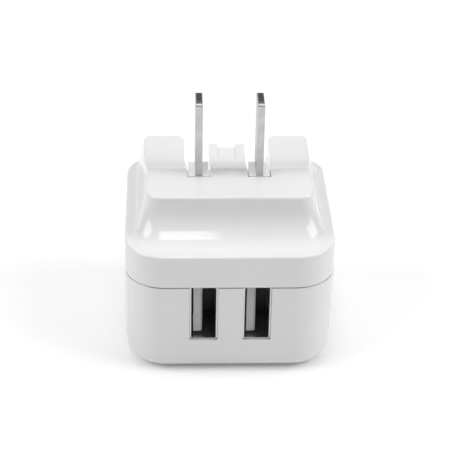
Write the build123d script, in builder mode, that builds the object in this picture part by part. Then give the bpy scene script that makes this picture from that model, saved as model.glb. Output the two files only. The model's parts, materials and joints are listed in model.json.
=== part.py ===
from build123d import *
import math
import os

# Two-port USB wall charger with folding flat blades.
# Units are millimetres.  X runs along the USB face, +Y points away from that face,
# +Z is the direction the blades point in when they are swung out.

os.makedirs("parts", exist_ok=True)

# ------------------------------------------------------------------ driving sizes
WIDTH = 43.4            # across the USB face
DEPTH = 43.4            # USB face to the far face
CORNER_R = 8.5          # plan radius of the corners beside the USB face
REAR_CORNER_R = 7.0     # plan radius of the two far corners
HALF_W = WIDTH / 2
HALF_D = DEPTH / 2
Z_PART = 20.9           # parting line between the two case halves
Z_SHOULDER = 28.2       # top of the plain band of the upper case
Z_PLATFORM = 36.8       # flat deck in front of the blades, meets the outlet plate
Z_EAR = 34.5            # lower ears beside the folded blades
WALL = 1.8              # case wall
FLOOR_T = 2.0           # floor of the lower case
BASE_R = 4.5            # lower outside edge
BAND_EDGE_R = 0.45      # edge of the band where the hollow flank starts
SEAM = 0.15             # bevel on each half that makes the groove at the parting line
SHOULDER_MARGIN = 0.5   # flat left between the band edge and the hollow flank

HUMP_HALF_W = 17.2      # half width of the raised deck
HUMP_FRONT = -12.35     # front edge of the raised deck
HUMP_REAR = 19.55       # far ends of the ears
HUMP_CORNER_R = 3.2     # front corners of the deck
HUMP_REAR_R = 1.0       # far corners of the deck
HUMP_EDGE_R = 0.5       # rim of the deck and of the ears
HUMP_LAND = 0.8         # straight wall above the hollow front
FLANK_SLOPE = 0.27      # the side flanks widen downwards by this much per unit
REAR_SLOPE = 0.12       # the same for the far face
FLANK_FOOT_R = 2.2      # hollow foot of the side flanks
REAR_FOOT_R = 1.0       # hollow foot of the far face

# folding blades, standard flat two-pole pattern
BLADE_PITCH = 12.7
BLADE_T = 1.5
BLADE_W = 6.35
BLADE_X = BLADE_PITCH / 2
BLADE_TOP = 53.55
BLADE_LEAD = 0.65       # height of the lead-in at the tip
TIP_T = 1.15
TIP_W = 3.8
NECK_HALF = 1.8         # half width of the blade root inside the barrel
NECK_UP = 2.0           # the blade has its full width from this far above the pivot
BARREL_R = 3.2
PIVOT_Z = Z_PLATFORM - BARREL_R
BARREL_W = 4.3          # barrel size along X
BARREL_GAP = 0.15       # air round the barrel
PIN_R = 1.0
PIN_HALF = 11.0
PIN_CHAMFER = 0.2
BORE_R = PIN_R + 0.05   # running fit in the cheeks

# recess the blades fold into
SLOT_FRONT = -3.4       # front wall of the recess
SLOT_HALF = 8.75        # outer cheek beside the barrel
SLOT_REAR_HALF = 9.25   # outer cheek further back
SLOT_STEP_Y = 3.6       # end of the barrel room
SLOT_WIDE_Y = 8.5       # cheeks at full width from here on
SLOT_EXIT_R = 2.6       # rounding of the ears at the mouth of the recess
FLOOR_FRONT_Z = 29.6    # sloping floor, front end
FLOOR_REAR_Z = 24.7     # sloping floor, far end
POST_HALF = 3.9         # centre post between the two blades
POST_REAR = 15.6        # far end of the two rails of the post
NOTCH_HALF = 2.0        # latch notch between the rails
NOTCH_FRONT = 9.0
NOTCH_REAR = 14.5       # far end of the post between the rails
NOTCH_DEPTH = 0.25
RECESS_BEVEL = 0.2      # front edge of the recess, beside the barrels
CEILING_Z = 22.9        # inside ceiling below the recess

# USB receptacles, standard type A standing on edge
PORT_PITCH = 11.0
PORT_X = PORT_PITCH / 2
SHEET = 0.3
SHELL_T = 5.72          # along X
SHELL_H = 13.1          # along Z
SHELL_LEN = 14.0
SHELL_BOTTOM = 8.14
SHELL_MID_Z = SHELL_BOTTOM + SHELL_H / 2
SHELL_FRONT = -HALF_D + 0.5
SHELL_REAR = SHELL_FRONT + SHELL_LEN
TONGUE_T = 1.84
TONGUE_H = 11.1
TONGUE_GAP = 0.45       # clear space on the blind side of the tongue
TONGUE_FRONT = SHELL_FRONT + 1.5
FIT = 0.05              # clearance of sheet metal in the case openings

# screws and main board
SCREW_LEN = 4.0
BOARD_TOP = 6.6
BOARD_T = 1.6
BOARD_BOTTOM = BOARD_TOP - BOARD_T
BOARD_HALF_W = 18.2
BOARD_FRONT = -18.6
BOARD_REAR = 18.6
LEAD_R = 0.3


def save(builder, label):
    """Name the finished sub-part and write it out."""
    builder.part.label = label
    export_step(builder.part, "parts/" + label + ".step")


def box_between(x0, x1, y0, y1, z0, z1, mode=Mode.ADD):
    """A plain block given by its limits."""
    with Locations(((x0 + x1) / 2, (y0 + y1) / 2, (z0 + z1) / 2)):
        Box(x1 - x0, y1 - y0, z1 - z0, mode=mode)


def rod_x(x0, x1, y, z, radius, mode=Mode.ADD):
    """A round bar lying along X."""
    with Locations(Location(((x0 + x1) / 2, y, z), (0, 90, 0))):
        Cylinder(radius, x1 - x0, mode=mode)


def rod_z(x, y, z0, z1, radius, mode=Mode.ADD):
    """A round bar standing along Z."""
    with Locations((x, y, (z0 + z1) / 2)):
        Cylinder(radius, z1 - z0, mode=mode)


def flared(top, slope, foot, foot_r, level):
    """Reach of the hump at a level: a leaning wall that ends in a hollow foot."""
    reach = top + slope * (Z_PLATFORM - level)
    foot_z = Z_SHOULDER + foot_r
    if level < foot_z:
        reach = max(reach, foot - math.sqrt(foot_r ** 2 - (foot_z - level) ** 2))
    return reach


def block_outline(half_w, front, rear, front_r, rear_r):
    """Rounded outline with its own front and far corner radii."""
    Line((-half_w + front_r, front), (half_w - front_r, front))
    RadiusArc((half_w - front_r, front), (half_w, front + front_r), -front_r)
    Line((half_w, front + front_r), (half_w, rear - rear_r))
    RadiusArc((half_w, rear - rear_r), (half_w - rear_r, rear), -rear_r)
    Line((half_w - rear_r, rear), (-half_w + rear_r, rear))
    RadiusArc((-half_w + rear_r, rear), (-half_w, rear - rear_r), -rear_r)
    Line((-half_w, rear - rear_r), (-half_w, front + front_r))
    RadiusArc((-half_w, front + front_r), (-half_w + front_r, front), -front_r)


# ------------------------------------------------------------------ lower case
STUD_X = 14.8           # studs under the board
STUD_FRONT = -5.2
STUD_REAR = 14.8
STUD_SPOTS = [(-STUD_X, STUD_REAR), (STUD_X, STUD_REAR), (-STUD_X, STUD_FRONT), (STUD_X, STUD_FRONT)]
STUD_R = 2.4
STUD_SKIN = 0.5         # solid bottom under each screw core
SCREW_R = 0.8
RIB_X = 12.0            # ribs that carry the front edge of the board
RIB_HALF = 2.5
RIB_T = 1.2
RIB_SETBACK = 0.4       # from the front edge of the board
ROOT = 0.1              # how far added features reach into the wall they stand on
PORT_CUT = 1.0          # how far the port cuts run past the wall

with BuildPart() as lower_case:
    with BuildSketch(Plane.XY.offset(Z_PART)):
        with BuildLine():
            block_outline(HALF_W, -HALF_D, HALF_D, CORNER_R, REAR_CORNER_R)
        make_face()
    extrude(amount=-Z_PART)
    fillet(lower_case.faces().sort_by(Axis.Z)[0].edges(), BASE_R)
    chamfer(lower_case.faces().sort_by(Axis.Z)[-1].edges(), SEAM)
    with BuildSketch(Plane.XY.offset(Z_PART)):
        RectangleRounded(WIDTH - 2 * WALL, DEPTH - 2 * WALL, CORNER_R - WALL)
    extrude(amount=-(Z_PART - FLOOR_T), mode=Mode.SUBTRACT)
    floor_face = lower_case.faces().filter_by_position(Axis.Z, FLOOR_T - ROOT, FLOOR_T + ROOT)
    fillet(floor_face.edges(), BASE_R - WALL)
    # port openings, open upwards at the parting line
    for side in (-1, 1):
        xc = side * PORT_X
        box_between(xc - SHELL_T / 2 - FIT, xc + SHELL_T / 2 + FIT, -HALF_D - PORT_CUT,
                    -HALF_D + WALL + PORT_CUT, SHELL_BOTTOM - FIT, Z_PART + PORT_CUT, mode=Mode.SUBTRACT)
    # board studs with screw cores
    for px, py in STUD_SPOTS:
        rod_z(px, py, FLOOR_T - ROOT, BOARD_BOTTOM, STUD_R)
    for px, py in STUD_SPOTS:
        rod_z(px, py, FLOOR_T + STUD_SKIN, BOARD_BOTTOM, SCREW_R, mode=Mode.SUBTRACT)
    # two ribs that carry the front edge of the board
    for side in (-1, 1):
        box_between(side * RIB_X - RIB_HALF, side * RIB_X + RIB_HALF, BOARD_FRONT + RIB_SETBACK,
                    BOARD_FRONT + RIB_SETBACK + RIB_T, FLOOR_T - ROOT, BOARD_BOTTOM)
save(lower_case, "lower_case")

# ------------------------------------------------------------------ upper case
Z_LAND = Z_PLATFORM - HUMP_LAND
COVE_H = Z_LAND - Z_SHOULDER
COVE_Y = HALF_D - SHOULDER_MARGIN + HUMP_FRONT
FOOT_X = HALF_W - SHOULDER_MARGIN
FOOT_Y = HALF_D - SHOULDER_MARGIN
FOOT_R = CORNER_R - SHOULDER_MARGIN
COVE_STEPS = 8
EAR_DROP_START = -2.6   # where the deck begins to drop towards the ears
EAR_DROP_END = 9.0
LIP_T = 0.8             # lip that plugs into the lower case
LIP_H = 1.3
LIP_ROOT = 0.6
LIP_CLEAR = 0.1
POST_FRONT = SLOT_FRONT - 0.3
POST_LEAN = 0.6         # the far end of the post leans out by this much at its foot
EXIT_PROUD = 0.25       # the mouth rounding ends this far outside the far edge of the ears
SADDLE_GAP = 0.6        # floor left open behind each saddle
SADDLE_BACK_T = 1.6     # upright wall in front of each barrel
CLEAR = 5.0             # how far cutting shapes run past the case
CHANNEL_HALF_X = 1.75   # opening for the contact leaf
CHANNEL_FRONT = -2.5
CHANNEL_REAR = 2.5
EAR_ROOM_X = 10.9       # rooms inside the ears
DECK_ROOM_X = 15.0      # room under the deck
FRONT_ROOM_X = 17.5     # room under the hollow front
RETAIN_Y = [-3.9, 3.6]  # screws that hold the contact retainer

with BuildPart() as upper_case:
    with BuildSketch(Plane.XY.offset(Z_PART)):
        with BuildLine():
            block_outline(HALF_W, -HALF_D, HALF_D, CORNER_R, REAR_CORNER_R)
        make_face()
    extrude(amount=Z_SHOULDER - Z_PART)
    fillet(upper_case.faces().sort_by(Axis.Z)[-1].edges(), BAND_EDGE_R)
    chamfer(upper_case.faces().sort_by(Axis.Z)[0].edges(), SEAM)
    # hollow front, leaning flanks and steep far face, stacked from the shoulder up to the deck wall
    levels = [(Z_LAND - COVE_H * math.cos(math.radians(90 * step / COVE_STEPS)),
               1 - math.sin(math.radians(90 * step / COVE_STEPS))) for step in range(COVE_STEPS + 1)]
    for level, spread in levels + [(Z_PLATFORM, 0)]:
        half_w = flared(HUMP_HALF_W, FLANK_SLOPE, FOOT_X, FLANK_FOOT_R, level)
        rear = flared(HUMP_REAR, REAR_SLOPE, FOOT_Y, REAR_FOOT_R, level)
        front = HUMP_FRONT - COVE_Y * spread
        front_r = HUMP_CORNER_R + (FOOT_R - HUMP_CORNER_R) * spread
        rear_r = HUMP_REAR_R + (FOOT_R - HUMP_REAR_R) * spread
        with BuildSketch(Plane.XY.offset(level)):
            with BuildLine():
                block_outline(half_w, front, rear, front_r, rear_r)
            make_face()
    loft()
    # flat deck in front, dropping in an easy curve to the ears
    with BuildSketch(Plane.YZ):
        with BuildLine():
            Line((EAR_DROP_START, Z_PLATFORM + CLEAR), (EAR_DROP_START, Z_PLATFORM))
            Spline((EAR_DROP_START, Z_PLATFORM), (EAR_DROP_END, Z_EAR), tangents=[(1, 0), (1, 0)])
            Line((EAR_DROP_END, Z_EAR), (HALF_D + CLEAR, Z_EAR))
            Line((HALF_D + CLEAR, Z_EAR), (HALF_D + CLEAR, Z_PLATFORM + CLEAR))
            Line((HALF_D + CLEAR, Z_PLATFORM + CLEAR), (EAR_DROP_START, Z_PLATFORM + CLEAR))
        make_face()
    extrude(amount=HALF_W, both=True, mode=Mode.SUBTRACT)
    deck_faces = [f for f in upper_case.faces()
                  if f.center().Z > Z_EAR - ROOT and f.normal_at(f.center()).Z > 0.9]
    rim = [e for f in deck_faces for e in f.edges()
           if sum(e.is_same(other) for g in deck_faces for other in g.edges()) == 1]
    fillet(rim, HUMP_EDGE_R)
    # recess for the folded blades, open at the far face, floor sloping down
    with BuildSketch(Plane.XY.offset(CEILING_Z)):
        with BuildLine():
            Polyline((-SLOT_HALF, SLOT_FRONT), (SLOT_HALF, SLOT_FRONT), (SLOT_HALF, SLOT_STEP_Y),
                     (SLOT_REAR_HALF, SLOT_WIDE_Y), (SLOT_REAR_HALF, HALF_D + CLEAR),
                     (-SLOT_REAR_HALF, HALF_D + CLEAR), (-SLOT_REAR_HALF, SLOT_WIDE_Y),
                     (-SLOT_HALF, SLOT_STEP_Y), close=True)
        make_face()
    recess = extrude(amount=Z_PLATFORM, mode=Mode.PRIVATE)
    floor_slope = (FLOOR_REAR_Z - FLOOR_FRONT_Z) / (HALF_D - SLOT_STEP_Y)
    floor_end = (HALF_D + CLEAR, FLOOR_FRONT_Z + floor_slope * (HALF_D + CLEAR - SLOT_STEP_Y))
    with BuildSketch(Plane.YZ):
        with BuildLine():
            Polyline((SLOT_FRONT, FLOOR_FRONT_Z), (SLOT_STEP_Y, FLOOR_FRONT_Z), floor_end,
                     (HALF_D + CLEAR, Z_PLATFORM + CLEAR), (SLOT_FRONT, Z_PLATFORM + CLEAR), close=True)
        make_face()
    above_floor = extrude(amount=HALF_W, both=True, mode=Mode.PRIVATE)
    add(recess & above_floor, mode=Mode.SUBTRACT)
    # rounded ears where the recess runs out of the far face
    for side in (-1, 1):
        with BuildSketch(Plane.XY.offset(Z_SHOULDER)):
            with BuildLine():
                exit_x = side * SLOT_REAR_HALF
                exit_y = HUMP_REAR + EXIT_PROUD
                Line((exit_x, exit_y - SLOT_EXIT_R), (exit_x, HALF_D + CLEAR))
                Line((exit_x, HALF_D + CLEAR), (exit_x + side * SLOT_EXIT_R, HALF_D + CLEAR))
                Line((exit_x + side * SLOT_EXIT_R, HALF_D + CLEAR), (exit_x + side * SLOT_EXIT_R, exit_y))
                RadiusArc((exit_x + side * SLOT_EXIT_R, exit_y), (exit_x, exit_y - SLOT_EXIT_R),
                          -side * SLOT_EXIT_R)
            make_face()
        extrude(amount=Z_PLATFORM - Z_SHOULDER, mode=Mode.SUBTRACT)
    # saddles under the barrels
    for side in (-1, 1):
        x0, x1 = sorted((side * POST_HALF, side * (SLOT_HALF + ROOT)))
        box_between(x0, x1, SLOT_FRONT - ROOT, SLOT_STEP_Y - SADDLE_GAP, FLOOR_FRONT_Z - ROOT,
                    PIVOT_Z - BARREL_R - BARREL_GAP)
        box_between(x0, x1, SLOT_FRONT - ROOT, SLOT_FRONT + SADDLE_BACK_T, FLOOR_FRONT_Z - ROOT,
                    PIVOT_Z - SADDLE_GAP)
    rod_x(-SLOT_HALF, SLOT_HALF, 0, PIVOT_Z, BARREL_R + BARREL_GAP, mode=Mode.SUBTRACT)
    # centre post with the same drop, two rails and a latch notch for slide-on plug heads
    with BuildSketch(Plane.YZ):
        with BuildLine():
            Line((POST_FRONT, CEILING_Z), (POST_FRONT, Z_PLATFORM))
            Line((POST_FRONT, Z_PLATFORM), (EAR_DROP_START, Z_PLATFORM))
            Spline((EAR_DROP_START, Z_PLATFORM), (NOTCH_FRONT, Z_EAR), tangents=[(1, 0), (1, 0)])
            Line((NOTCH_FRONT, Z_EAR), (POST_REAR, Z_EAR))
            Line((POST_REAR, Z_EAR), (POST_REAR + POST_LEAN, CEILING_Z))
            Line((POST_REAR + POST_LEAN, CEILING_Z), (POST_FRONT, CEILING_Z))
        make_face()
    extrude(amount=POST_HALF, both=True)
    box_between(-NOTCH_HALF, NOTCH_HALF, NOTCH_FRONT, HALF_D, Z_EAR - NOTCH_DEPTH, Z_PLATFORM,
                mode=Mode.SUBTRACT)
    box_between(-NOTCH_HALF, NOTCH_HALF, NOTCH_REAR, HALF_D, FLOOR_FRONT_Z, Z_PLATFORM,
                mode=Mode.SUBTRACT)
    # hollow inside: low room, front room, deck room, ears
    with BuildSketch(Plane.XY.offset(Z_PART)):
        RectangleRounded(WIDTH - 2 * WALL, DEPTH - 2 * WALL, CORNER_R - WALL)
    extrude(amount=CEILING_Z - Z_PART, mode=Mode.SUBTRACT)
    box_between(-FRONT_ROOM_X, FRONT_ROOM_X, -HALF_D + 2 * WALL, SLOT_FRONT - WALL, CEILING_Z,
                Z_SHOULDER - WALL, mode=Mode.SUBTRACT)
    box_between(-DECK_ROOM_X, DECK_ROOM_X, HUMP_FRONT + 1.3 * WALL, SLOT_FRONT - WALL,
                Z_SHOULDER - WALL, Z_PLATFORM - WALL, mode=Mode.SUBTRACT)
    for side in (-1, 1):
        x0, x1 = sorted((side * EAR_ROOM_X, side * DECK_ROOM_X))
        box_between(x0, x1, SLOT_FRONT - WALL, HUMP_REAR - 2 * WALL, CEILING_Z, Z_EAR - WALL,
                    mode=Mode.SUBTRACT)
    # lip that plugs into the lower case, left out behind the ports
    with BuildSketch(Plane.XY.offset(Z_PART + LIP_ROOT)):
        RectangleRounded(WIDTH - 2 * WALL, DEPTH - 2 * WALL, CORNER_R - WALL)
        RectangleRounded(WIDTH - 2 * WALL - 2 * LIP_T, DEPTH - 2 * WALL - 2 * LIP_T,
                         CORNER_R - WALL - LIP_T, mode=Mode.SUBTRACT)
    extrude(amount=-LIP_ROOT)
    with BuildSketch(Plane.XY.offset(Z_PART)):
        RectangleRounded(WIDTH - 2 * (WALL + LIP_CLEAR), DEPTH - 2 * (WALL + LIP_CLEAR),
                         CORNER_R - WALL - LIP_CLEAR)
        RectangleRounded(WIDTH - 2 * WALL - 2 * LIP_T, DEPTH - 2 * WALL - 2 * LIP_T,
                         CORNER_R - WALL - LIP_T, mode=Mode.SUBTRACT)
    extrude(amount=-LIP_H)
    box_between(-PORT_X - SHELL_T, PORT_X + SHELL_T, -HALF_D + WALL, -HALF_D + 2 * WALL,
                Z_PART - 2 * LIP_H, Z_PART + LIP_ROOT, mode=Mode.SUBTRACT)
    # pockets that clear the tops of the port shells behind a thin front lip
    for side in (-1, 1):
        xc = side * PORT_X
        box_between(xc - SHELL_T / 2 - FIT, xc + SHELL_T / 2 + FIT, SHELL_FRONT - FIT,
                    -HALF_D + WALL + PORT_CUT, Z_PART - ROOT, SHELL_BOTTOM + SHELL_H + FIT,
                    mode=Mode.SUBTRACT)
    # pivot bores, contact channels and retainer screw cores
    rod_x(-PIN_HALF - PIN_CHAMFER, PIN_HALF + PIN_CHAMFER, 0, PIVOT_Z, BORE_R, mode=Mode.SUBTRACT)
    for side in (-1, 1):
        box_between(side * BLADE_X - CHANNEL_HALF_X, side * BLADE_X + CHANNEL_HALF_X,
                    CHANNEL_FRONT, CHANNEL_REAR, CEILING_Z - ROOT, PIVOT_Z - NECK_UP, mode=Mode.SUBTRACT)
    for y in RETAIN_Y:
        rod_z(0, y, CEILING_Z - ROOT, CEILING_Z + SCREW_LEN, SCREW_R, mode=Mode.SUBTRACT)
    # bevelled front edge of the recess
    deck_edges = upper_case.edges().filter_by_position(Axis.Z, Z_PLATFORM - FIT, Z_PLATFORM + FIT)
    recess_edges = deck_edges.filter_by_position(Axis.Y, SLOT_FRONT - FIT, SLOT_FRONT + FIT).filter_by(Axis.X)
    chamfer(recess_edges, RECESS_BEVEL)
save(upper_case, "upper_case")

# ------------------------------------------------------------------ folding blades
def blade_body(xc):
    """One flat blade with its narrow root and tapered tip."""
    box_between(xc - BLADE_T / 2, xc + BLADE_T / 2, -BLADE_W / 2, BLADE_W / 2,
                PIVOT_Z + NECK_UP, BLADE_TOP - BLADE_LEAD)
    root_z = PIVOT_Z - math.sqrt(BARREL_R ** 2 - NECK_HALF ** 2)
    with BuildSketch(Plane.YZ.offset(xc - BLADE_T / 2)) as root:
        with BuildLine():
            Polyline((-NECK_HALF, root_z), (-NECK_HALF, PIVOT_Z + NECK_UP), (NECK_HALF, PIVOT_Z + NECK_UP),
                     (NECK_HALF, root_z))
            ThreePointArc((NECK_HALF, root_z), (0, PIVOT_Z - BARREL_R), (-NECK_HALF, root_z))
        make_face()
    extrude(root.sketch, amount=BLADE_T)
    with BuildSketch(Plane.XY.offset(BLADE_TOP - BLADE_LEAD)) as full:
        with Locations((xc, 0)):
            Rectangle(BLADE_T, BLADE_W)
    with BuildSketch(Plane.XY.offset(BLADE_TOP)) as tip:
        with Locations((xc, 0)):
            Rectangle(TIP_T, TIP_W)
    loft([full.sketch, tip.sketch])


with BuildPart() as blade_left:
    blade_body(-BLADE_X)
    rod_x(-BLADE_X - BLADE_T, -BLADE_X + BLADE_T, 0, PIVOT_Z, PIN_R, mode=Mode.SUBTRACT)
save(blade_left, "blade_left")

with BuildPart() as blade_right:
    blade_body(BLADE_X)
    rod_x(BLADE_X - BLADE_T, BLADE_X + BLADE_T, 0, PIVOT_Z, PIN_R, mode=Mode.SUBTRACT)
save(blade_right, "blade_right")


def barrel_body(xc, blade):
    """Plastic barrel moulded round a blade root: round below, square above."""
    rod_x(xc - BARREL_W / 2, xc + BARREL_W / 2, 0, PIVOT_Z, BARREL_R)
    box_between(xc - BARREL_W / 2, xc + BARREL_W / 2, -BARREL_R, BARREL_R, PIVOT_Z, PIVOT_Z + BARREL_R)
    rod_x(xc - BARREL_W, xc + BARREL_W, 0, PIVOT_Z, PIN_R, mode=Mode.SUBTRACT)
    add(blade.part, mode=Mode.SUBTRACT)


with BuildPart() as barrel_left:
    barrel_body(-BLADE_X, blade_left)
save(barrel_left, "barrel_left")

with BuildPart() as barrel_right:
    barrel_body(BLADE_X, blade_right)
save(barrel_right, "barrel_right")

with BuildPart() as pivot_pin:
    rod_x(-PIN_HALF, PIN_HALF, 0, PIVOT_Z, PIN_R)
    chamfer(pivot_pin.edges().filter_by(GeomType.CIRCLE), PIN_CHAMFER)
save(pivot_pin, "pivot_pin")

# ------------------------------------------------------------------ line contacts
LEAF_T = 0.3
LEAF_HALF_W = 1.4
LEAF_FOOT = 1.0         # foot soldered to the board
LEAF_TAIL = 1.6         # short free leg behind the crest
LEAF_CLEAR = 0.04       # air between the crest and the barrel
CREST_R = 2.05
CREST_Z = PIVOT_Z - BARREL_R - LEAF_CLEAR - CREST_R


def contact_leaf(xc):
    """Spring strip: long leg on the board, rounded crest under the barrel."""
    with BuildSketch(Plane.YZ.offset(xc - LEAF_HALF_W)) as leaf:
        with Locations((0, CREST_Z)):
            Circle(CREST_R)
            Circle(CREST_R - LEAF_T, mode=Mode.SUBTRACT)
        with Locations((0, CREST_Z - CREST_R)):
            Rectangle(2 * CREST_R, 2 * CREST_R, mode=Mode.SUBTRACT)
        with Locations((-CREST_R + LEAF_T / 2, (CREST_Z + BOARD_TOP) / 2)):
            Rectangle(LEAF_T, CREST_Z - BOARD_TOP)
        with Locations((CREST_R - LEAF_T / 2, CREST_Z - LEAF_TAIL / 2)):
            Rectangle(LEAF_T, LEAF_TAIL)
    extrude(leaf.sketch, amount=2 * LEAF_HALF_W)
    box_between(xc - LEAF_HALF_W, xc + LEAF_HALF_W, -CREST_R - LEAF_FOOT, -CREST_R,
                BOARD_TOP, BOARD_TOP + LEAF_T)


with BuildPart() as line_contact_left:
    contact_leaf(-BLADE_X)
save(line_contact_left, "line_contact_left")

with BuildPart() as line_contact_right:
    contact_leaf(BLADE_X)
save(line_contact_right, "line_contact_right")

RETAINER_T = 1.3
RETAINER_W = 21.0
RETAINER_D = 16.0
RETAINER_R = 1.5
RETAINER_EDGE = 0.3
HOLE_CLEAR = 0.2        # screw holes are this much larger in radius than the screws

with BuildPart() as contact_retainer:
    with BuildSketch(Plane.XY.offset(CEILING_Z - RETAINER_T)):
        RectangleRounded(RETAINER_W, RETAINER_D, RETAINER_R)
        for side in (-1, 1):
            with Locations((side * BLADE_X, -CREST_R + LEAF_T / 2)):
                Rectangle(2 * LEAF_HALF_W, LEAF_T, mode=Mode.SUBTRACT)
        for y in RETAIN_Y:
            with Locations((0, y)):
                Circle(SCREW_R + HOLE_CLEAR, mode=Mode.SUBTRACT)
    extrude(amount=RETAINER_T)
    fillet(contact_retainer.faces().sort_by(Axis.Z)[0].outer_wire().edges(), RETAINER_EDGE)
save(contact_retainer, "contact_retainer")


HEAD_R = 1.7
HEAD_T = 1.1
CROSS_DEPTH = 0.5
CROSS_LONG = 1.1        # half length of each arm of the cross recess
CROSS_THIN = 0.18       # half width of each arm


def pan_screw(x, y, seat, way):
    """Small pan-head screw with a cross recess: head on the seat plane, shank along way."""
    shank0, shank1 = sorted((seat, seat + way * SCREW_LEN))
    rod_z(x, y, shank0, shank1, SCREW_R)
    head0, head1 = sorted((seat, seat - way * HEAD_T))
    rod_z(x, y, head0, head1, HEAD_R)
    cross0, cross1 = sorted((seat - way * (HEAD_T - CROSS_DEPTH), seat - way * (HEAD_T + ROOT)))
    box_between(x - CROSS_LONG, x + CROSS_LONG, y - CROSS_THIN, y + CROSS_THIN, cross0, cross1,
                mode=Mode.SUBTRACT)
    box_between(x - CROSS_THIN, x + CROSS_THIN, y - CROSS_LONG, y + CROSS_LONG, cross0, cross1,
                mode=Mode.SUBTRACT)


with BuildPart() as retainer_screws:
    for y in RETAIN_Y:
        pan_screw(0, y, CEILING_Z - RETAINER_T, 1)
save(retainer_screws, "retainer_screws")

with BuildPart() as board_screws:
    for px, py in STUD_SPOTS:
        pan_screw(px, py, BOARD_TOP, -1)
save(board_screws, "board_screws")

# ------------------------------------------------------------------ main board
BOARD_CORNER_R = 5.5
SLIT_X, SLIT_Y = -6.5, -0.9
SLIT_L = 14.0           # isolation slit beside the transformer
SLIT_W = 1.0
INSULATION_SIDE = 34.0
INSULATION_R = 5.0
INSULATION_T = 0.25
INSULATION_CLEAR = 0.3  # air round the studs and ribs

with BuildPart() as main_board:
    with BuildSketch(Plane.XY.offset(BOARD_BOTTOM)):
        with Locations((0, (BOARD_FRONT + BOARD_REAR) / 2)):
            RectangleRounded(2 * BOARD_HALF_W, BOARD_REAR - BOARD_FRONT, BOARD_CORNER_R)
        with Locations(STUD_SPOTS):
            Circle(SCREW_R + HOLE_CLEAR, mode=Mode.SUBTRACT)
        with Locations((SLIT_X, SLIT_Y)):
            SlotOverall(SLIT_L, SLIT_W, mode=Mode.SUBTRACT)
    extrude(amount=BOARD_T)
save(main_board, "main_board")

with BuildPart() as insulation_sheet:
    with BuildSketch(Plane.XY.offset(FLOOR_T)):
        RectangleRounded(INSULATION_SIDE, INSULATION_SIDE, INSULATION_R)
        with Locations(STUD_SPOTS):
            Circle(STUD_R + INSULATION_CLEAR, mode=Mode.SUBTRACT)
        for side in (-1, 1):
            with Locations((side * RIB_X, BOARD_FRONT + RIB_SETBACK + RIB_T / 2)):
                Rectangle(2 * (RIB_HALF + INSULATION_CLEAR), RIB_T + 2 * INSULATION_CLEAR, mode=Mode.SUBTRACT)
    extrude(amount=INSULATION_T)
save(insulation_sheet, "insulation_sheet")

# ------------------------------------------------------------------ USB receptacles
CONTACT_OFFSETS = [-3.5, -1.0, 1.0, 3.5]
CONTACT_T = 0.2
CONTACT_W = 1.0
CONTACT_SETBACK = 0.8   # from the tip of the tongue
BEND_FIRST = 0.7        # first contact bends down this far behind the shell
BEND_STEP = 0.8
LEG_T = 0.45            # vertical legs of the contacts
BASE_FRONT = SHELL_REAR - 4.2
FINGER_Z = [-3.2, 3.2]  # spring fingers in the broad sides, from the middle of the shell
FINGER_FRONT = SHELL_FRONT + 3.0
FINGER_REAR = SHELL_FRONT + 9.0
FINGER_HALF = 0.7
FINGER_T = 0.2
FINGER_SLIT = 0.3       # slit cut beside each finger
FINGER_NOSE = 0.8       # gap in front of each finger
TAB_Y = [SHELL_FRONT + 4.0, SHELL_REAR - 2.0]
TAB_HALF = 1.0
SHELL_FOLD_R = 0.45
SHELL_INNER_R = 0.2
TONGUE_CHAMFER = 0.4
SAME = 0.01             # lengths closer than this count as equal


def port_shell(xc):
    """Folded sheet-metal shell with spring fingers and two board tabs."""
    box_between(xc - SHELL_T / 2, xc + SHELL_T / 2, SHELL_FRONT, SHELL_REAR,
                SHELL_BOTTOM, SHELL_BOTTOM + SHELL_H)
    fillet([e for e in edges() if abs(e.bounding_box().size.Y - SHELL_LEN) < SAME], SHELL_FOLD_R)
    with BuildSketch(Plane.XZ.offset(-SHELL_FRONT)) as bore:
        with Locations((xc, SHELL_MID_Z)):
            RectangleRounded(SHELL_T - 2 * SHEET, SHELL_H - 2 * SHEET, SHELL_INNER_R)
    extrude(bore.sketch, amount=-SHELL_LEN, mode=Mode.SUBTRACT)
    for side in (-1, 1):
        face_x = xc + side * (SHELL_T / 2 - SHEET / 2)
        for dz in FINGER_Z:
            z = SHELL_MID_Z + dz
            box_between(face_x - SHEET, face_x + SHEET, FINGER_FRONT - FINGER_NOSE, FINGER_REAR,
                        z - FINGER_HALF - FINGER_SLIT, z + FINGER_HALF + FINGER_SLIT, mode=Mode.SUBTRACT)
            box_between(face_x - FINGER_T / 2, face_x + FINGER_T / 2, FINGER_FRONT, FINGER_REAR + FINGER_T,
                        z - FINGER_HALF, z + FINGER_HALF)
    for y in TAB_Y:
        for x0 in (xc - SHELL_T / 2, xc + SHELL_T / 2 - SHEET):
            box_between(x0, x0 + SHEET, y - TAB_HALF, y + TAB_HALF, BOARD_TOP, SHELL_BOTTOM + TAB_HALF)


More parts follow.
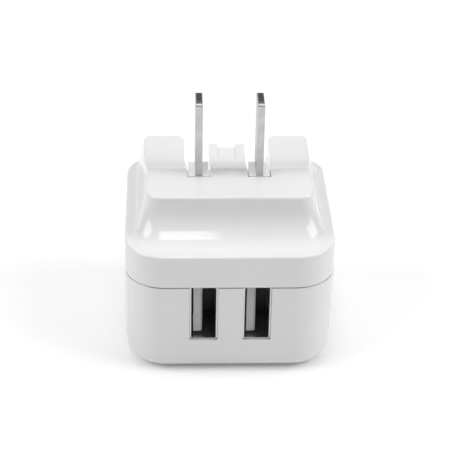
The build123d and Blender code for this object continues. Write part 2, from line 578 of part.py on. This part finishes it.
def port_tongue(xc):
    """Moulded insert: base block that plugs the shell and the contact tongue."""
    left = xc - SHELL_T / 2 + SHEET
    box_between(left, xc + SHELL_T / 2 - SHEET, BASE_FRONT, SHELL_REAR,
                SHELL_BOTTOM + SHEET, SHELL_BOTTOM + SHELL_H - SHEET)
    fillet([e for e in edges() if abs(e.bounding_box().size.Y - (SHELL_REAR - BASE_FRONT)) < SAME],
           SHELL_INNER_R)
    box_between(left + TONGUE_GAP, left + TONGUE_GAP + TONGUE_T, TONGUE_FRONT, BASE_FRONT,
                SHELL_MID_Z - TONGUE_H / 2, SHELL_MID_Z + TONGUE_H / 2)
    face_x = left + TONGUE_GAP + TONGUE_T
    chamfer([e for e in edges() if abs(e.center().Y - TONGUE_FRONT) < SAME
             and abs(e.center().X - face_x) < SAME], TONGUE_CHAMFER)
    for dz in CONTACT_OFFSETS:
        box_between(face_x - CONTACT_T, face_x, TONGUE_FRONT + CONTACT_SETBACK, SHELL_REAR,
                    SHELL_MID_Z + dz - CONTACT_W / 2, SHELL_MID_Z + dz + CONTACT_W / 2, mode=Mode.SUBTRACT)


def port_contacts(xc):
    """Four plated strips lying in the tongue and bending down to the board."""
    face_x = xc - SHELL_T / 2 + SHEET + TONGUE_GAP + TONGUE_T
    for number, dz in enumerate(CONTACT_OFFSETS):
        z = SHELL_MID_Z + dz
        bend_y = SHELL_REAR + BEND_FIRST + BEND_STEP * number
        box_between(face_x - CONTACT_T, face_x, TONGUE_FRONT + CONTACT_SETBACK, bend_y,
                    z - CONTACT_W / 2, z + CONTACT_W / 2)
        box_between(face_x - CONTACT_T, face_x, bend_y - LEG_T, bend_y, BOARD_TOP, z + CONTACT_W / 2)


with BuildPart() as usb_shell_left:
    port_shell(-PORT_X)
save(usb_shell_left, "usb_shell_left")
with BuildPart() as usb_shell_right:
    port_shell(PORT_X)
save(usb_shell_right, "usb_shell_right")
with BuildPart() as usb_tongue_left:
    port_tongue(-PORT_X)
save(usb_tongue_left, "usb_tongue_left")
with BuildPart() as usb_tongue_right:
    port_tongue(PORT_X)
save(usb_tongue_right, "usb_tongue_right")
with BuildPart() as usb_contacts_left:
    port_contacts(-PORT_X)
save(usb_contacts_left, "usb_contacts_left")
with BuildPart() as usb_contacts_right:
    port_contacts(PORT_X)
save(usb_contacts_right, "usb_contacts_right")

# ------------------------------------------------------------------ transformer
TR_X, TR_Y = -6.5, 8.2
TR_HALF_X, TR_HALF_Y = 8.0, 2.6
TR_BOTTOM = BOARD_TOP + 0.6
TR_H = 13.6
TR_TOP = TR_BOTTOM + TR_H
LEG_HALF = 2.0          # centre leg
WINDOW_OUT = 5.9
YOKE = 2.0

with BuildPart() as transformer_core:
    box_between(TR_X - TR_HALF_X, TR_X + TR_HALF_X, TR_Y - TR_HALF_Y, TR_Y + TR_HALF_Y, TR_BOTTOM, TR_TOP)
    for side in (-1, 1):
        x0, x1 = sorted((TR_X + side * LEG_HALF, TR_X + side * WINDOW_OUT))
        box_between(x0, x1, TR_Y - TR_HALF_Y, TR_Y + TR_HALF_Y, TR_BOTTOM + YOKE, TR_TOP - YOKE,
                    mode=Mode.SUBTRACT)
save(transformer_core, "transformer_core")

FLANGE_T = 0.8
TUBE_X, TUBE_Y = LEG_HALF + FLANGE_T, TR_HALF_Y + FLANGE_T
FLANGE_X, FLANGE_Y = WINDOW_OUT - 0.1, 6.6
PIN_ROW = [-4.2, -1.4, 1.4, 4.2]
PIN_INSET = 0.8
WINDING_INSET_X, WINDING_INSET_Y, WINDING_R = 0.5, 0.9, 2.0
SPOOL_BOTTOM = TR_BOTTOM + YOKE
SPOOL_TOP = TR_TOP - YOKE
with BuildPart() as transformer_bobbin:
    for z0, z1 in ((SPOOL_BOTTOM, SPOOL_BOTTOM + FLANGE_T), (SPOOL_TOP - FLANGE_T, SPOOL_TOP)):
        box_between(TR_X - FLANGE_X, TR_X + FLANGE_X, TR_Y - FLANGE_Y, TR_Y + FLANGE_Y, z0, z1)
    box_between(TR_X - TUBE_X, TR_X + TUBE_X, TR_Y - TUBE_Y, TR_Y + TUBE_Y, SPOOL_BOTTOM, SPOOL_TOP)
    box_between(TR_X - LEG_HALF, TR_X + LEG_HALF, TR_Y - TR_HALF_Y, TR_Y + TR_HALF_Y,
                SPOOL_BOTTOM, SPOOL_TOP, mode=Mode.SUBTRACT)
    # feet with the winding pins
    for side in (-1, 1):
        for dx in PIN_ROW:
            rod_z(TR_X + dx, TR_Y + side * (FLANGE_Y - PIN_INSET), BOARD_TOP, SPOOL_BOTTOM, LEAD_R)
save(transformer_bobbin, "transformer_bobbin")

with BuildPart() as transformer_winding:
    with BuildSketch(Plane.XY.offset(SPOOL_BOTTOM + FLANGE_T)):
        with Locations((TR_X, TR_Y)):
            RectangleRounded(2 * (FLANGE_X - WINDING_INSET_X), 2 * (FLANGE_Y - WINDING_INSET_Y), WINDING_R)
            Rectangle(2 * TUBE_X, 2 * TUBE_Y, mode=Mode.SUBTRACT)
    extrude(amount=SPOOL_TOP - SPOOL_BOTTOM - 2 * FLANGE_T)
save(transformer_winding, "transformer_winding")


# ------------------------------------------------------------------ board components
CAN_LIFT = 0.5          # cans stand this far off the board on their leads
CAN_LEAD_X = 1.2
BEAD_R = 0.45           # rolled groove near the foot of a can
BEAD_Z = 1.8
CHIP_LIFT = 0.15
PIN_W = 0.4             # gull-wing legs
PIN_REACH = 0.5
PIN_T = 0.2


def can_capacitor(x, y, radius, height):
    """Aluminium can with a rolled bead and two leads."""
    rod_z(x, y, BOARD_TOP + CAN_LIFT, BOARD_TOP + CAN_LIFT + height, radius)
    with BuildSketch(Plane.XZ.offset(-y)) as bead:
        with Locations((x + radius + BEAD_R / 4, BOARD_TOP + BEAD_Z)):
            Circle(BEAD_R)
    revolve(bead.sketch, axis=Axis((x, y, 0), (0, 0, 1)), mode=Mode.SUBTRACT)
    for dx in (-CAN_LEAD_X, CAN_LEAD_X):
        rod_z(x + dx, y, BOARD_TOP, BOARD_TOP + CAN_LIFT, LEAD_R)


def chip(x, y, long_x, long_y, height, pins, pitch=0.0):
    """Moulded chip body with gull-wing legs on two sides."""
    box_between(x - long_x / 2, x + long_x / 2, y - long_y / 2, y + long_y / 2,
                BOARD_TOP + CHIP_LIFT, BOARD_TOP + height)
    for side in (-1, 1):
        edge_y = y + side * long_y / 2
        for pin in range(pins):
            px = x + (pin - (pins - 1) / 2) * pitch
            y0, y1 = sorted((edge_y, edge_y + side * PIN_REACH))
            box_between(px - PIN_W / 2, px + PIN_W / 2, y0, y1, BOARD_TOP, BOARD_TOP + height / 2)
            y0, y1 = sorted((edge_y + side * PIN_REACH, edge_y + side * 2 * PIN_REACH))
            box_between(px - PIN_W / 2, px + PIN_W / 2, y0, y1, BOARD_TOP, BOARD_TOP + PIN_T)


def small_chips(spots, height):
    """Rectangular chip parts, 1.6 by 0.8 on the board."""
    for x, y in spots:
        box_between(x - 0.8, x + 0.8, y - 0.4, y + 0.4, BOARD_TOP, BOARD_TOP + height)


with BuildPart() as input_capacitors:
    can_capacitor(x=7.4, y=5.6, radius=4.0, height=12.8)
    can_capacitor(x=7.4, y=14.0, radius=4.0, height=12.8)
save(input_capacitors, "input_capacitors")

with BuildPart() as output_capacitors:
    can_capacitor(x=-13.3, y=-12.2, radius=3.15, height=11.0)
    can_capacitor(x=13.3, y=-12.2, radius=3.15, height=11.0)
save(output_capacitors, "output_capacitors")

with BuildPart() as bridge_rectifier:
    chip(x=14.6, y=9.2, long_x=4.7, long_y=3.8, height=1.9, pins=2, pitch=2.5)
save(bridge_rectifier, "bridge_rectifier")

with BuildPart() as controller_chip:
    chip(x=14.6, y=2.6, long_x=4.9, long_y=3.9, height=1.5, pins=4, pitch=1.27)
save(controller_chip, "controller_chip")

with BuildPart() as optocoupler:
    chip(x=0.4, y=-1.0, long_x=4.6, long_y=2.2, height=2.6, pins=2, pitch=2.54)
save(optocoupler, "optocoupler")

with BuildPart() as output_rectifier:
    chip(x=-12.6, y=-1.0, long_x=5.2, long_y=3.4, height=2.2, pins=1)
save(output_rectifier, "output_rectifier")

DISC_X, DISC_Y = -16.3, 6.6
DISC_R = 3.6
DISC_T = 2.4
DISC_Z = BOARD_TOP + 5.2
DISC_LEAD_Y = 2.5
with BuildPart() as y_capacitor:
    rod_x(DISC_X - DISC_T / 2, DISC_X + DISC_T / 2, DISC_Y, DISC_Z, DISC_R)
    for dy in (-DISC_LEAD_Y, DISC_LEAD_Y):
        rod_z(DISC_X, DISC_Y + dy, BOARD_TOP, DISC_Z - DISC_R / 2, LEAD_R)
save(y_capacitor, "y_capacitor")

FUSE_X, FUSE_Y = -4.6, 17.2
FUSE_Z = BOARD_TOP + 2.0
FUSE_HALF = 4.2
FUSE_R = 1.6
FUSE_LEAD_X = 5.3
with BuildPart() as fusible_resistor:
    rod_x(FUSE_X - FUSE_HALF, FUSE_X + FUSE_HALF, FUSE_Y, FUSE_Z, FUSE_R)
    rod_x(FUSE_X - FUSE_LEAD_X - LEAD_R, FUSE_X + FUSE_LEAD_X + LEAD_R, FUSE_Y, FUSE_Z, LEAD_R)
    for side in (-1, 1):
        rod_z(FUSE_X + side * FUSE_LEAD_X, FUSE_Y, BOARD_TOP, FUSE_Z, LEAD_R)
save(fusible_resistor, "fusible_resistor")

CHOKE_X, CHOKE_Y = 1.2, 14.6
CHOKE_DISC_R = 1.9
CHOKE_CORE_R = 1.0
CHOKE_WIRE_R = 1.75
CHOKE_LOW = BOARD_TOP + 1.2
CHOKE_HIGH = BOARD_TOP + 5.4
CHOKE_TOP = BOARD_TOP + 6.6
with BuildPart() as choke_core:
    rod_z(CHOKE_X, CHOKE_Y, BOARD_TOP, CHOKE_LOW, CHOKE_DISC_R)
    rod_z(CHOKE_X, CHOKE_Y, CHOKE_LOW, CHOKE_HIGH, CHOKE_CORE_R)
    rod_z(CHOKE_X, CHOKE_Y, CHOKE_HIGH, CHOKE_TOP, CHOKE_DISC_R)
save(choke_core, "choke_core")

with BuildPart() as choke_winding:
    rod_z(CHOKE_X, CHOKE_Y, CHOKE_LOW, CHOKE_HIGH, CHOKE_WIRE_R)
    rod_z(CHOKE_X, CHOKE_Y, CHOKE_LOW, CHOKE_HIGH, CHOKE_CORE_R, mode=Mode.SUBTRACT)
save(choke_winding, "choke_winding")

with BuildPart() as chip_resistors:
    small_chips([(10.9, -2.2), (10.9, -4.0), (17.0, -1.2), (-8.9, -4.3), (-8.9, -5.8), (-17.0, -1.4)],
                height=0.5)
save(chip_resistors, "chip_resistors")

with BuildPart() as chip_capacitors:
    small_chips([(12.9, 12.9), (16.6, 12.3), (1.2, -4.4), (-1.6, -4.4), (12.2, -0.8)], height=0.8)
save(chip_capacitors, "chip_capacitors")
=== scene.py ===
"""Looks of the two-port USB wall charger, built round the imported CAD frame."""
import json
import math

import bpy
from mathutils import Matrix, Vector


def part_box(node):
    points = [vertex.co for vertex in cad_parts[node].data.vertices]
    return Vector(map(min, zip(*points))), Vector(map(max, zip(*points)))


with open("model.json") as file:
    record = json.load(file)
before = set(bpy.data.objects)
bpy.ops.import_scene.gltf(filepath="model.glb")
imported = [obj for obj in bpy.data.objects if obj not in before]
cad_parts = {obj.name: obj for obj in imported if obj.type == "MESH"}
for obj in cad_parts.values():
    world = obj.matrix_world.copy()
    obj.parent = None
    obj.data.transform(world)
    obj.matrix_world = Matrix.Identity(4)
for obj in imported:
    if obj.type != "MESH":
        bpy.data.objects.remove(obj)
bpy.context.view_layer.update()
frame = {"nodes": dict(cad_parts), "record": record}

MM = 0.001
PORT_FRONT_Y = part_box("usb_shell_left")[0].y
SEAM_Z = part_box("lower_case")[1].z
BLADE_TOP_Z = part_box("blade_left")[1].z
scene = bpy.context.scene


# ------------------------------------------------------------------ camera
CAM_ELEVATION = math.radians(30.64)   # above the horizon
CAM_YAW = math.radians(2.52)          # looks a little towards +X
CAM_ROLL = math.radians(1.12)
CAM_DISTANCE = 339.1 * MM
CAM_AIM = Vector((0.0, -6.7, 22.0)) * MM
CAM_RISE = 3.49 * MM                  # camera lifted across its own view
CAM_SIDE = 0.09 * MM
CAM_SENSOR = 36.0                     # mm
CAM_LENS = 126.173                    # mm
CAM_NEAR = 0.01
CAM_FAR = 20


def make_camera():
    view = Vector((math.sin(CAM_YAW) * math.cos(CAM_ELEVATION),
                   math.cos(CAM_YAW) * math.cos(CAM_ELEVATION), -math.sin(CAM_ELEVATION)))
    right = Vector((math.cos(CAM_YAW), -math.sin(CAM_YAW), 0.0))
    up = right.cross(view)
    rolled_right = right * math.cos(CAM_ROLL) + up * math.sin(CAM_ROLL)
    rolled_up = -right * math.sin(CAM_ROLL) + up * math.cos(CAM_ROLL)
    place = CAM_AIM - view * CAM_DISTANCE + rolled_right * CAM_SIDE + rolled_up * CAM_RISE
    data = bpy.data.cameras.new("camera")
    data.sensor_width = CAM_SENSOR
    data.lens = CAM_LENS
    data.clip_start = CAM_NEAR
    data.clip_end = CAM_FAR
    camera = bpy.data.objects.new("camera", data)
    scene.collection.objects.link(camera)
    turn = Matrix((rolled_right, rolled_up, -view)).transposed()
    camera.matrix_world = Matrix.Translation(place) @ turn.to_4x4()
    scene.camera = camera


# ------------------------------------------------------------------ materials
NOISE_LOW = 0.3               # noise values that give the darkest and the lightest tint
NOISE_HIGH = 0.7
WEAR_SCALE = 2.3              # the gloss varies on a finer scale than the colour
GRAIN_SCALE = 3000.0
GRAIN_DEPTH = 0.02 * MM
GRAIN_BUMP = 0.05
SMOOTH_BUMP = 0.01            # polished mould faces

# slot, name, darkest and lightest colour, lowest and highest roughness, colour drift scale, metallic
FINISHES = [
    ("shell_steel", "plated_sheet_steel", (0.66, 0.66, 0.67), (0.76, 0.76, 0.77), 0.22, 0.38, 700, 1.0),
    ("tongue_grey", "grey_moulded_nylon", (0.52, 0.52, 0.52), (0.57, 0.57, 0.57), 0.40, 0.55, 900, 0.0),
    ("contact_gold", "gold_plated_strip", (0.75, 0.56, 0.24), (0.86, 0.68, 0.33), 0.20, 0.35, 900, 1.0),
    ("board_green", "solder_mask", (0.01, 0.13, 0.05), (0.02, 0.18, 0.08), 0.30, 0.45, 500, 0.0),
    ("sheet_clear", "insulating_film", (0.70, 0.70, 0.66), (0.78, 0.78, 0.74), 0.30, 0.40, 300, 0.0),
    ("screw_steel", "plated_screw_steel", (0.45, 0.45, 0.46), (0.58, 0.58, 0.58), 0.25, 0.45, 900, 1.0),
    ("retainer_black", "black_retainer_plastic", (0.03, 0.03, 0.03), (0.05, 0.05, 0.05), 0.4, 0.6, 900, 0.0),
    ("leaf_brass", "spring_bronze", (0.62, 0.42, 0.18), (0.72, 0.52, 0.25), 0.25, 0.40, 900, 1.0),
    ("ferrite", "ferrite_ceramic", (0.04, 0.04, 0.045), (0.08, 0.08, 0.085), 0.50, 0.70, 1500, 0.0),
    ("bobbin_black", "bobbin_phenolic", (0.02, 0.02, 0.02), (0.04, 0.04, 0.04), 0.35, 0.50, 900, 0.0),
    ("tape_yellow", "polyester_tape", (0.72, 0.50, 0.06), (0.82, 0.60, 0.10), 0.25, 0.40, 300, 0.0),
    ("sleeve_black", "shrink_sleeve", (0.02, 0.02, 0.035), (0.04, 0.04, 0.06), 0.20, 0.35, 400, 0.0),
    ("chip_black", "moulding_compound", (0.015, 0.015, 0.015), (0.035, 0.035, 0.035), 0.50, 0.65, 2000, 0.0),
    ("disc_blue", "dipped_epoxy_blue", (0.03, 0.12, 0.40), (0.05, 0.17, 0.50), 0.20, 0.35, 500, 0.0),
    ("resistor_green", "coated_resistor", (0.12, 0.28, 0.14), (0.18, 0.36, 0.19), 0.40, 0.55, 700, 0.0),
    ("winding_copper", "enamelled_copper", (0.45, 0.16, 0.05), (0.60, 0.25, 0.08), 0.25, 0.40, 3000, 1.0),
    ("ceramic_tan", "tan_ceramic", (0.42, 0.30, 0.17), (0.52, 0.38, 0.23), 0.40, 0.60, 1500, 0.0),
    ("blade_nickel", "nickel_plated_brass", (0.50, 0.50, 0.50), (0.60, 0.60, 0.60), 0.28, 0.42, 500, 1.0),
]
# the white case plastic and its lighter copy on the barrels have polished faces; the lighter copy is painted
# light against the blades' shade on the barrels
POLISHED = [
    ("case_white", "case_white_plastic", (0.725, 0.725, 0.725), (0.745, 0.745, 0.745), 0.04, 0.07, 60),
    ("barrel_white_painted_lighter", "barrel_plastic_painted_lighter", (0.84, 0.84, 0.84), (0.86, 0.86, 0.86), 0.10, 0.16, 60),
]

# shares of the base colour left, by distance from an edge in mm
PORT_SHADE = [(0.0, 0.80), (1.6, 0.85)]                                # into the port from its front
TONGUE_SHADE = [(7.0, 1.0), (9.0, 0.14)]                               # into the port from its front
# painted shade: a dark line along the seam between the case halves, where the gap would be shaded
SEAM_PAINTED_SHADE = [(-0.22, 1.0), (-0.07, 0.50), (0.07, 0.50), (0.22, 1.0)]   # up from the seam
# painted reflection on the blade tips: dark bands where the metal would mirror dark surroundings, full
# colour between them for the glint
TIP_PAINTED_REFLECTION = [(-0.70, 1.0), (-0.64, 0.25), (-0.56, 0.25),
              (-0.52, 1.0), (-0.36, 1.0), (-0.28, 0.20)]               # up from the blade's end


def node_material(name):
    material = bpy.data.materials.new(name)
    material.use_nodes = True
    tree = material.node_tree
    return material, tree.nodes, tree.links, tree.nodes["Principled BSDF"]


def add_noise(nodes, links, scale, detail=4.0, rough=0.6):
    coords = nodes.new("ShaderNodeTexCoord")
    noise = nodes.new("ShaderNodeTexNoise")
    noise.inputs["Scale"].default_value = scale
    noise.inputs["Detail"].default_value = detail
    noise.inputs["Roughness"].default_value = rough
    links.new(coords.outputs["Object"], noise.inputs["Vector"])
    return noise


def tint_by(nodes, links, noise, dark, light, target):
    ramp = nodes.new("ShaderNodeValToRGB")
    ramp.color_ramp.elements[0].position = NOISE_LOW
    ramp.color_ramp.elements[1].position = NOISE_HIGH
    ramp.color_ramp.elements[0].color = (*dark, 1)
    ramp.color_ramp.elements[1].color = (*light, 1)
    links.new(noise.outputs["Fac"], ramp.inputs["Fac"])
    links.new(ramp.outputs["Color"], target)


def rough_by(nodes, links, noise, low, high, target):
    span = nodes.new("ShaderNodeMapRange")
    span.inputs["To Min"].default_value = low
    span.inputs["To Max"].default_value = high
    links.new(noise.outputs["Fac"], span.inputs["Value"])
    links.new(span.outputs["Result"], target)


def bump_by(nodes, links, noise, strength, distance, shader):
    bump = nodes.new("ShaderNodeBump")
    bump.inputs["Strength"].default_value = strength
    bump.inputs["Distance"].default_value = distance
    links.new(noise.outputs["Fac"], bump.inputs["Height"])
    links.new(bump.outputs["Normal"], shader.inputs["Normal"])


def surface(name, dark, light, rough_low, rough_high, scale, metallic=0.0, bump=GRAIN_BUMP):
    """A finish with colour drift, uneven gloss and a fine surface texture."""
    material, nodes, links, shader = node_material(name)
    drift = add_noise(nodes, links, scale)
    tint_by(nodes, links, drift, dark, light, shader.inputs["Base Color"])
    wear = add_noise(nodes, links, scale * WEAR_SCALE, detail=6.0)
    rough_by(nodes, links, wear, rough_low, rough_high, shader.inputs["Roughness"])
    grain = add_noise(nodes, links, GRAIN_SCALE, detail=3.0)
    bump_by(nodes, links, grain, bump, GRAIN_DEPTH, shader)
    shader.inputs["Metallic"].default_value = metallic
    return material


def scale_colour(material, axis, start, steps):
    """Fade the base colour along one axis; steps are (mm from start, share of the colour left)."""
    nodes, links = material.node_tree.nodes, material.node_tree.links
    target = nodes["Principled BSDF"].inputs["Base Color"]
    source = target.links[0].from_socket
    coords = nodes.new("ShaderNodeTexCoord")
    split = nodes.new("ShaderNodeSeparateXYZ")
    links.new(coords.outputs["Object"], split.inputs["Vector"])
    first, last = steps[0][0], steps[-1][0]
    place = nodes.new("ShaderNodeMapRange")
    place.inputs["From Min"].default_value = start + first * MM
    place.inputs["From Max"].default_value = start + last * MM
    links.new(split.outputs[axis], place.inputs["Value"])
    fade = nodes.new("ShaderNodeValToRGB")
    ramp = fade.color_ramp
    while len(ramp.elements) < len(steps):
        ramp.elements.new(0.5)
    for element, (spot, share) in zip(ramp.elements, steps):
        element.position = (spot - first) / (last - first)
        element.color = (share, share, share, 1)
    links.new(place.outputs["Result"], fade.inputs["Fac"])
    product = nodes.new("ShaderNodeVectorMath")
    product.operation = "MULTIPLY"
    links.new(source, product.inputs[0])
    links.new(fade.outputs["Color"], product.inputs[1])
    links.new(product.outputs["Vector"], target)


def make_materials():
    made = {}
    for slot, name, dark, light, rough_low, rough_high, scale in POLISHED:
        made[slot] = surface(name, dark, light, rough_low, rough_high, scale, bump=SMOOTH_BUMP)
    for slot, name, dark, light, rough_low, rough_high, scale, metallic in FINISHES:
        made[slot] = surface(name, dark, light, rough_low, rough_high, scale, metallic)
    scale_colour(made["shell_steel"], "Y", PORT_FRONT_Y, PORT_SHADE)
    scale_colour(made["tongue_grey"], "Y", PORT_FRONT_Y, TONGUE_SHADE)
    # painted shade along the seam
    scale_colour(made["case_white"], "Z", SEAM_Z, SEAM_PAINTED_SHADE)
    # painted reflection on the blade tips
    scale_colour(made["blade_nickel"], "Z", BLADE_TOP_Z, TIP_PAINTED_REFLECTION)
    return made


def paint_cad_nodes(made):
    slots = {row["node"]: row["material_slot"] for row in frame["record"]["subparts"]}
    for name, obj in frame["nodes"].items():
        # the barrels take the lighter copy of the case white: painted light against the blades' shade
        finish = "barrel_white_painted_lighter" if name.startswith("barrel_") else slots[name]
        obj.data.materials.clear()
        obj.data.materials.append(made[finish])


# ------------------------------------------------------------------ floor and light
FLOOR_HALF = 3.0
FLOOR_DARK = (0.86, 0.86, 0.86)
FLOOR_LIGHT = (0.88, 0.88, 0.88)
FLOOR_ROUGHNESS = 0.9
FLOOR_DRIFT = 40.0
GLOW_NEAR = 0.12              # painted light: the floor glows though it is no lamp, its glow rising between these distances from the charger
GLOW_FAR = 0.60
GLOW_LOW = 0.09
GLOW_HIGH = 0.36


def make_floor():
    mesh = bpy.data.meshes.new("floor")
    half = FLOOR_HALF
    corners = [(-half, -half, 0), (half, -half, 0), (half, half, 0), (-half, half, 0)]
    mesh.from_pydata(corners, [], [(0, 1, 2, 3)])
    floor = bpy.data.objects.new("floor", mesh)
    scene.collection.objects.link(floor)
    material, nodes, links, shader = node_material("floor_paper")
    drift = add_noise(nodes, links, FLOOR_DRIFT)
    tint_by(nodes, links, drift, FLOOR_DARK, FLOOR_LIGHT, shader.inputs["Base Color"])
    shader.inputs["Roughness"].default_value = FLOOR_ROUGHNESS
    # painted light: the floor glows, more strongly farther from the charger
    shader.inputs["Emission Color"].default_value = (1, 1, 1, 1)
    coords = nodes.new("ShaderNodeTexCoord")
    reach = nodes.new("ShaderNodeVectorMath")
    reach.operation = "LENGTH"
    links.new(coords.outputs["Object"], reach.inputs[0])
    glow = nodes.new("ShaderNodeMapRange")
    glow.inputs["From Min"].default_value = GLOW_NEAR
    glow.inputs["From Max"].default_value = GLOW_FAR
    glow.inputs["To Min"].default_value = GLOW_LOW
    glow.inputs["To Max"].default_value = GLOW_HIGH
    links.new(reach.outputs["Value"], glow.inputs["Value"])
    links.new(glow.outputs["Result"], shader.inputs["Emission Strength"])
    mesh.materials.append(material)


LIGHT_AIM = Vector((0.0, 0.0, 25.0)) * MM
WORLD_GREY = 0.025
# name, direction from the charger, distance, size towards Y, size across that, brightness
SOFTBOXES = [
    ("softbox_left", (-0.74, -0.18, 0.60), 0.50, 0.36, 0.26, 4.45),
    ("softbox_right", (0.75, -0.18, 0.60), 0.50, 0.36, 0.30, 4.5),
    ("softbox_top", (-0.065, -0.21, 0.97), 0.50, 0.215, 0.085, 4.5),
    ("softbox_sky", (0.0, 0.25, 0.97), 0.60, 0.50, 0.90, 1.18),
    ("softbox_front", (0.0, -0.50, 0.86), 0.60, 0.42, 0.90, 0.35),
    ("softbox_back", (0.0, 0.87, 0.50), 0.80, 0.95, 1.60, 0.46),
]


def softbox(name, toward, distance, wide, tall, radiance):
    """A flat panel that faces the charger."""
    back = Vector(toward).normalized()
    data = bpy.data.lights.new(name, "AREA")
    data.shape = "RECTANGLE"
    data.size = wide
    data.size_y = tall
    data.energy = radiance * math.pi * wide * tall
    light = bpy.data.objects.new(name, data)
    scene.collection.objects.link(light)
    side = Vector((0.0, 1.0, 0.0)) - back * back.y
    side.normalize()
    rise = back.cross(side)
    turn = Matrix((side, rise, back)).transposed()
    light.matrix_world = Matrix.Translation(LIGHT_AIM + back * distance) @ turn.to_4x4()


def make_lights():
    world = bpy.data.worlds.new("studio")
    scene.world = world
    world.use_nodes = True
    background = world.node_tree.nodes["Background"]
    background.inputs["Color"].default_value = (1, 1, 1, 1)
    background.inputs["Strength"].default_value = WORLD_GREY
    for name, toward, distance, wide, tall, radiance in SOFTBOXES:
        softbox(name, toward, distance, wide, tall, radiance)


scene.view_settings.view_transform = "Standard"
make_camera()
make_floor()
make_lights()
paint_cad_nodes(make_materials())
